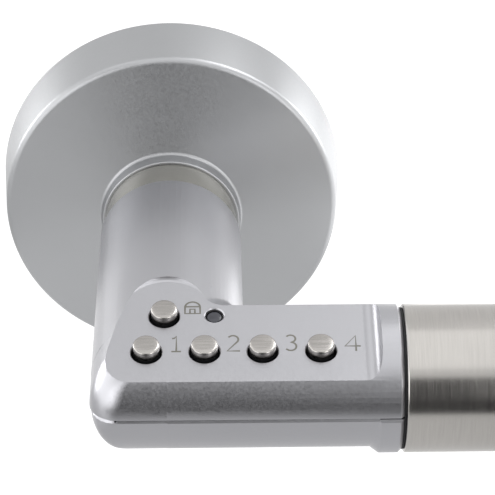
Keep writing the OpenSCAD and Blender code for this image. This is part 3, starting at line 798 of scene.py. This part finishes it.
@dataclass
class Key:
    """One round push key, in millimetres from the grip's axis along its own."""

    node: str
    foot_h: float = 5.47
    foot_top: float = 6.22
    foot_r: float = 2.6
    foot_edge: float = 0.08
    cap_r: float = 1.95
    top: float = 9.32
    edge: float = 0.34
    crown: float = 0.06
    painted_shade_below: float = 7.75

    def build(self, dresser: Dresser, keypad: Place) -> None:
        """Turns the key at its solid's place and dresses it, with painted shade in black on its
        side where it stands in its hole.
        """
        key = turn(f"{self.node}_key", over(self.node, keypad), [
            Corner(0, self.foot_h), Corner(self.foot_r, self.foot_h, self.foot_edge),
            Corner(self.foot_r, self.foot_top, self.foot_edge),
            Corner(self.cap_r, self.foot_top),
            Corner(self.cap_r, self.painted_shade_below),
            Corner(self.cap_r, self.top - self.crown, self.edge),
            Corner(self.cap_r * 0.55, self.top - self.crown * 0.25), Corner(0, self.top)],
            steps=64)
        dresser.dress(key, KEY_STEEL, self.node)
        # painted shade: the key's side below the face is made black where it stands in the shade of
        # its hole
        key.data.materials.append(dresser.material(BLACK))
        for face in key.data.polygons:
            face.material_index = int(height_of(face.center, keypad) < self.painted_shade_below)


def arc(centre: Point, r: float, start: float, end: float, steps: int = 16) -> list[Point]:
    """Points of an arc, between two angles in degrees."""
    turns = [math.radians(start + (end - start) * i / steps) for i in range(steps + 1)]
    return [(centre[0] + r * math.cos(t), centre[1] + r * math.sin(t)) for t in turns]


FIGURES: dict[str, list[list[Point]]] = {
    "1": [[(-0.6, 1.05), (-0.25, 1.12), (0.03, 1.5), (0.03, -1.53)],
          [(-0.68, -1.53), (0.72, -1.53)]],
    "2": [arc((-0.05, 0.75), 0.78, 145, -32) + [(-0.92, -1.53), (0.95, -1.53)]],
    "3": [arc((-0.1, 0.82), 0.71, 145, -90) + arc((-0.1, -0.71), 0.82, 90, -145)],
    "4": [[(0.45, -1.53), (0.45, 1.5), (-1.15, -0.55), (1.15, -0.55)]],
    "padlock": [arc((0, 0.1), 1.12, 8, 172) + [(-1.12, -1.15), (1.12, -1.15), (1.12, 0.25)],
                [(-1.12, 0.25), (1.12, 0.25)],
                [(-0.38, -1.1), (-0.38, -0.25), (0.34, -0.25), (0.34, -1.1)]],
}


@dataclass
class Keypad:
    """The keys, the lamp's window and the figures etched into the keypad's face."""

    face_h: float = FACE_H
    lens_r: float = 1.1
    lens_foot: float = 4.0
    lens_top: float = 7.62
    lens_crown: float = 0.1
    stroke: float = 0.31
    flatness: float = 0.1
    signs: dict[str, Point] = field(default_factory=lambda: {
        "1": (1.35, -0.1), "2": (9.7, -0.1), "3": (18.15, -0.1), "4": (27.1, -0.3),
        "padlock": (3.75, 7.15)})

    def build_sign(self, figure: str, at: Point, keypad: Place) -> bpy.types.Object:
        """One figure as a thin inlay, from strokes of even width.

        Args:
            figure: Which figure.
            at: Its middle on the face, in millimetres along the grip and up the slope.
            keypad: The keypad's frame.

        Returns:
            The figure's mesh.
        """
        curve = bpy.data.curves.new(f"figure_{figure}", "CURVE")
        curve.dimensions = "3D"
        curve.bevel_depth = self.stroke * MM / 2
        curve.bevel_resolution = 2
        curve.use_fill_caps = True
        for stroke in FIGURES[figure]:
            spline = curve.splines.new("POLY")
            spline.points.add(len(stroke) - 1)
            for point, (x, y) in zip(spline.points, stroke):
                point.co = (x * MM, y * MM, 0, 1)
        obj = bpy.data.objects.new(f"figure_{figure}", curve)
        bpy.context.scene.collection.objects.link(obj)
        select_only(obj)
        bpy.ops.object.convert(target="MESH")
        flat = Matrix.Diagonal((1, 1, self.flatness, 1))
        obj.matrix_world = keypad.moved(*at, self.face_h).matrix() @ flat
        bpy.ops.object.transform_apply(location=True, rotation=True, scale=True)
        smooth(obj)
        return obj

    def build(self, dresser: Dresser, keypad: Place) -> None:
        """Builds and dresses the keypad."""
        for node in ("button_lock", "button_1", "button_2", "button_3", "button_4"):
            Key(node).build(dresser, keypad)
        for figure, at in self.signs.items():
            sign = self.build_sign(figure, at, keypad)
            dresser.dress(sign, ETCHED, "keypad_housing", False)
        lens = turn("lamp_window", over("status_lens", keypad), [
            Corner(0, self.lens_foot), Corner(self.lens_r, self.lens_foot),
            Corner(self.lens_r, self.lens_top - self.lens_crown, 0.15),
            Corner(0, self.lens_top)], steps=48)
        dresser.dress(lens, LENS, "status_lens")


@dataclass
class Grip:
    """The brushed tube with its gasket, end cap and grub screws, in millimetres."""

    r: float = 11.0
    wall: float = 1.0
    screw_r: float = 1.75
    screw_inset: tuple[float, float] = (4.6, 6.0)
    seal_bore: float = 9.95

    def build_tube(self, place: Place, start: float, end: float) -> bpy.types.Object:
        """The tube with broken edges and its two holes for the grub screws."""
        tube = turn("grip_sleeve", place, [
            Corner(self.r - self.wall, start), Corner(self.r, start, 0.32),
            Corner(self.r, end, 0.3), Corner(self.r - self.wall, end)], closed=True, steps=192)
        for x in (start + self.screw_inset[0], end - self.screw_inset[1]):
            down = Place(place.at(0, x), -place.radial, place.axis)
            drill(tube, down, self.screw_r, self.r - self.wall - 0.5, 3)
        return tube

    def build_seal(self, place: Place) -> bpy.types.Object:
        """The gasket that shows as a line between the body and the tube."""
        low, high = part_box("grip_gasket")
        start, end, r = low.x / MM, high.x / MM, high.z / MM
        return turn("grip_seal", place, [
            Corner(self.seal_bore, start), Corner(r, start, 0.1), Corner(r, end, 0.1),
            Corner(self.seal_bore, end)], closed=True)

    def build(self, dresser: Dresser, place: Place) -> None:
        """Builds and dresses the grip."""
        low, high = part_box("grip_tube")
        start, end = low.x / MM, high.x / MM
        dresser.dress(self.build_tube(place, start, end), GRIP_STEEL, "grip_tube")
        dresser.dress(self.build_seal(place), RUBBER, "grip_gasket")
        dresser.dress(refined("grip_plug", "end_cap"), GRIP_STEEL, "end_cap")
        dresser.dress(refined("grip_screws_part", "grip_screws"), SCREW, "grip_screws")


# ------------------------------------------------------------------ studio

@dataclass(frozen=True)
class Softbox:
    """A soft lamp: where it stands, what it is aimed at, its size and how bright it looks."""

    name: str
    at: tuple[float, float, float]
    aim: tuple[float, float, float]
    size: tuple[float, float]
    level: float


@dataclass(frozen=True)
class Card:
    """A card that the metal mirrors: two opposite corners above the floor, and its grey."""

    name: str
    low: tuple[float, float, float]
    high: tuple[float, float, float]
    grey: float


@dataclass(frozen=True)
class Panel:
    """A bright panel round the lock that the metal mirrors.

    Its bearing from the front and its height are in degrees, its size and distance in metres.
    """

    name: str
    bearing: float
    height: float
    size: tuple[float, float]
    glow: float
    distance: float = 1.2


@dataclass
class Studio:
    """The floor, the cards, the panels, the lamps, the world and the camera."""

    softboxes: tuple[Softbox, ...] = (
        Softbox("overhead", (0.05, -0.22, 0.78), (0.03, -0.08, 0.0), (0.9, 1.0), 0.46),
        Softbox("left", (-0.75, -0.2, 0.22), (0.0, -0.04, 0.0), (0.8, 0.6), 1.25),
        Softbox("right", (0.82, 0.0, 0.14), (0.0, -0.04, 0.0), (0.4, 0.5), 0.8),
    )
    cards: tuple[Card, ...] = (
        Card("floor_card", (-0.14, -0.98, 0.0), (0.45, -0.135, 0.0), 0.05),
        Card("front_card", (-0.28, -0.98, 0.0), (0.3, -0.98, 0.62), 0.06),
        Card("grip_low_card", (0.11, -0.975, 0.0), (0.3, -0.975, 0.12), 0.5),
        Card("grip_high_card", (0.11, -0.975, 0.12), (0.3, -0.975, 0.62), 0.65),
        Card("under_card", (-0.04, -0.1345, 0.0), (0.44, -0.055, 0.0), 0.85),
        Card("left_floor", (-1.0, -0.75, 0.0), (-0.15, -0.1, 0.0), 1.7),
        Card("left_window", (-0.85, -0.7, 0.0), (-0.36, -0.7, 0.62), 2.7),
        Card("right_window", (0.36, -0.7, 0.0), (0.85, -0.7, 0.62), 3.5),
        Card("left_reflector", (-0.5, -0.1, 0.0), (-0.045, 0.06, 0.0), 0.85),
        Card("right_reflector", (0.045, -0.05, 0.0), (0.5, 0.12, 0.0), 2.1),
    )
    panels: tuple[Panel, ...] = (
        Panel("left_panel", -120.0, 7.0, (0.64, 0.42), 6.5),
        Panel("right_panel", 120.0, 7.0, (0.64, 0.42), 8.0),
        Panel("right_side_panel", 74.0, 7.0, (0.5, 0.4), 2.0),
        Panel("right_top_panel", 120.0, 53.0, (0.83, 0.55), 5.0),
        Panel("left_top_panel", -120.0, 53.0, (0.83, 0.55), 1.6),
    )
    world_light: float = 0.7
    floor_size: float = 8.0
    floor_grey: float = 0.6
    floor_lift: float = 0.62
    floor_drop: float = 0.08  # below the grip when it is turned down
    card_gap: float = 0.002
    middle: Vector = field(default_factory=lambda: Vector((0.0, -0.045, 0.0)))
    camera_at: tuple[float, float, float] = (0.006681, -0.358614, 0.196281)
    pitch: float = 59.535
    yaw: float = -0.992
    lens: float = 173.74

    def build_floor(self, level: float) -> None:
        """A pale floor that shows white to the camera and keeps the shadow."""
        deselect_all()
        bpy.ops.mesh.primitive_plane_add(size=self.floor_size,
                                         location=(0, 0, level - self.floor_drop))
        floor = named("studio_floor")
        graph = Graph("studio_floor")
        graph.tree.nodes.clear()
        out = graph.add("ShaderNodeOutputMaterial")
        diffuse = graph.add("ShaderNodeBsdfDiffuse")
        diffuse.inputs["Color"].default_value = (*(self.floor_grey,) * 3, 1)
        glow = graph.add("ShaderNodeEmission")
        seen = self.seen_rays(graph.tree)
        strength = graph.add("ShaderNodeMath", operation="MULTIPLY")
        strength.inputs[1].default_value = self.floor_lift
        graph.wire(seen, strength.inputs[0])
        graph.wire(strength.outputs[0], glow.inputs["Strength"])
        both = graph.add("ShaderNodeAddShader")
        graph.wire(diffuse.outputs[0], both.inputs[0])
        graph.wire(glow.outputs[0], both.inputs[1])
        clear = graph.add("ShaderNodeBsdfTransparent")
        side = graph.add("ShaderNodeNewGeometry")
        mix = graph.add("ShaderNodeMixShader")
        graph.wire(side.outputs["Backfacing"], mix.inputs["Fac"])
        graph.wire(both.outputs[0], mix.inputs[1])
        graph.wire(clear.outputs[0], mix.inputs[2])
        graph.wire(mix.outputs[0], out.inputs["Surface"])
        floor.data.materials.append(graph.material)
        floor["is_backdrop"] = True

    def seen_rays(self, tree: bpy.types.NodeTree) -> bpy.types.NodeSocket:
        """One where a ray comes from the camera, a mirror or glass, and nought elsewhere."""
        path = tree.nodes.new("ShaderNodeLightPath")
        total = path.outputs["Is Camera Ray"]
        for kind in ("Is Glossy Ray", "Is Transmission Ray"):
            add = tree.nodes.new("ShaderNodeMath")
            add.operation = "ADD"
            add.use_clamp = True
            tree.links.new(total, add.inputs[0])
            tree.links.new(path.outputs[kind], add.inputs[1])
            total = add.outputs[0]
        return total

    def build_plane(self, name: str, place: Matrix, size: tuple[float, float], glow: float,
                    ) -> None:
        """Sets up a card that only the metal sees.

        Args:
            name: The card's name.
            place: Where it stands and how it is turned.
            size: Its width and its height.
            glow: How bright it looks.
        """
        deselect_all()
        bpy.ops.mesh.primitive_plane_add(size=1)
        obj = named(name)
        obj.matrix_world = place @ Matrix.Diagonal((*size, 1, 1))
        bpy.ops.object.transform_apply(location=True, rotation=True, scale=True)
        graph = Graph(name)
        graph.shader.inputs["Base Color"].default_value = (0, 0, 0, 1)
        graph.shader.inputs["Specular IOR Level"].default_value = 0.0
        graph.shader.inputs["Emission Color"].default_value = (1, 1, 1, 1)
        graph.shader.inputs["Emission Strength"].default_value = glow
        obj.data.materials.append(graph.material)
        obj.visible_camera = False
        obj.visible_diffuse = False
        obj.visible_shadow = False
        obj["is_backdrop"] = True

    def build_card(self, card: Card, level: float) -> None:
        """Lays or stands a card before the lock."""
        low, high = Vector(card.low), Vector(card.high)
        span = high - low
        stands = high.z > low.z
        middle = (low + high) / 2 + Vector((0, 0, level + self.card_gap))
        place = Matrix.Translation(middle) @ Matrix.Rotation(math.radians(90 * stands), 4, "X")
        self.build_plane(card.name, place, (span.x, span.z if stands else span.y), card.grey)

    def build_panel(self, panel: Panel) -> None:
        """Hangs a panel, facing the lock."""
        bearing, height = math.radians(panel.bearing), math.radians(panel.height)
        out = Vector((math.sin(bearing) * math.cos(height),
                      -math.cos(bearing) * math.cos(height), math.sin(height)))
        turned = (-out).to_track_quat("Z", "Y").to_matrix().to_4x4()
        place = Matrix.Translation(self.middle + out * panel.distance) @ turned
        self.build_plane(panel.name, place, panel.size, panel.glow)

    def build_softbox(self, box: Softbox) -> None:
        """Hangs a soft lamp and aims it."""
        lamp = bpy.data.lights.new(box.name, "AREA")
        lamp.shape = "RECTANGLE"
        lamp.size = box.size[0]
        lamp.size_y = box.size[1]
        lamp.energy = box.level * math.pi * box.size[0] * box.size[1]
        obj = bpy.data.objects.new(box.name, lamp)
        bpy.context.scene.collection.objects.link(obj)
        obj.location = box.at
        aim = Vector(box.aim) - Vector(box.at)
        obj.rotation_euler = aim.to_track_quat("-Z", "Y").to_euler()
        obj.visible_camera = False

    def build_world(self) -> None:
        """A white studio: full white where it is seen or mirrored, softer as a light."""
        world = bpy.data.worlds.new("studio")
        bpy.context.scene.world = world
        world.use_nodes = True
        tree = world.node_tree
        seen = self.seen_rays(tree)
        span = tree.nodes.new("ShaderNodeMapRange")
        span.inputs["To Min"].default_value = self.world_light
        span.inputs["To Max"].default_value = 1.0
        tree.links.new(seen, span.inputs["Value"])
        background = tree.nodes["Background"]
        background.inputs["Color"].default_value = (1, 1, 1, 1)
        tree.links.new(span.outputs["Result"], background.inputs["Strength"])

    def build_camera(self) -> None:
        """Sets up the camera, looking down on the keypad from the front."""
        data = bpy.data.cameras.new("camera")
        camera = bpy.data.objects.new("camera", data)
        bpy.context.scene.collection.objects.link(camera)
        camera.location = self.camera_at
        camera.rotation_euler = (math.radians(self.pitch), 0, math.radians(self.yaw))
        data.sensor_width = 36.0
        data.lens = self.lens
        data.clip_start = 0.01
        data.clip_end = 20.0
        bpy.context.scene.camera = camera

    def build(self, level: float) -> None:
        """Sets up everything round the lock.

        Args:
            level: Height of the rose's foot, where the cards lie.
        """
        self.build_floor(level)
        for card in self.cards:
            self.build_card(card, level)
        for panel in self.panels:
            self.build_panel(panel)
        for box in self.softboxes:
            self.build_softbox(box)
        self.build_world()
        self.build_camera()
        bpy.context.scene.view_settings.view_transform = "Standard"


def main() -> None:
    """Builds the lock's looks and the studio round it."""
    logging.basicConfig(level=logging.INFO, format="%(name)s: %(message)s")
    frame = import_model()
    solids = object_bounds()
    dresser = Dresser(frame)
    grip, keypad = grip_place(), keypad_place(frame)
    Rose().build(dresser)
    Body().build(dresser, keypad)
    Keypad().build(dresser, keypad)
    Grip().build(dresser, grip)
    for finish, nodes in CARRIED.items():
        for node in nodes:
            dresser.carry(node, finish)
    Studio().build(solids[0].z)


if __name__ == "__main__":
    main()
